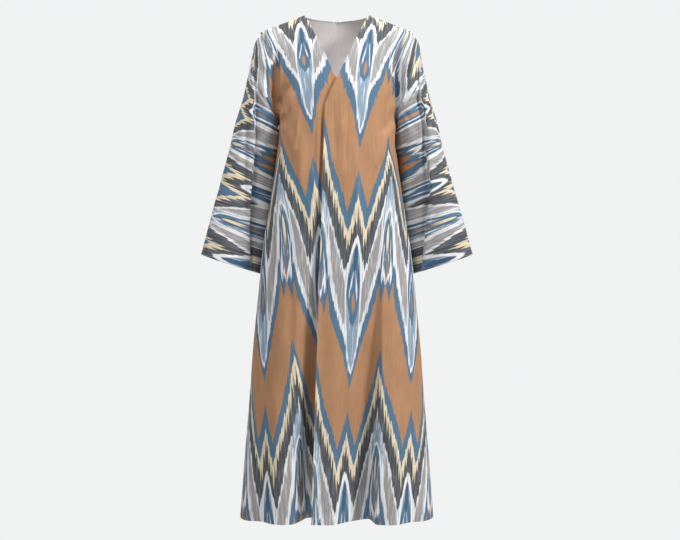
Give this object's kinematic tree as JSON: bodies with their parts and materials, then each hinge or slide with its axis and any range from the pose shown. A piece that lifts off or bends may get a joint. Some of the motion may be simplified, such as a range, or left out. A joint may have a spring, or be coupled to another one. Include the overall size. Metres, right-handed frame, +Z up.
{
  "type": "duster coat",
  "caption": "Long wrap-front duster coat of ikat-patterned cloth with a V neck and wide straight sleeves, filled out as if worn.",
  "frame": {"origin": "midway between the two neck points, at the top of the shoulder seams, where the coat rests on a wearer or a hanger", "axes": "+Z up along the garment, front faces -Y, +X is the wearer's left"},
  "size_m": [0.7322, 0.2525, 1.3501],
  "materials": {
    "cloth": "matte woven cloth with a feathered warp-dyed pattern in camel, blue, charcoal, cream and white"
  },
  "bodies": {
    "root": {"front_left": "cloth", "front_right": "cloth", "back": "cloth", "sleeve_left": "cloth", "sleeve_right": "cloth"}
  },
  "joints": []
}
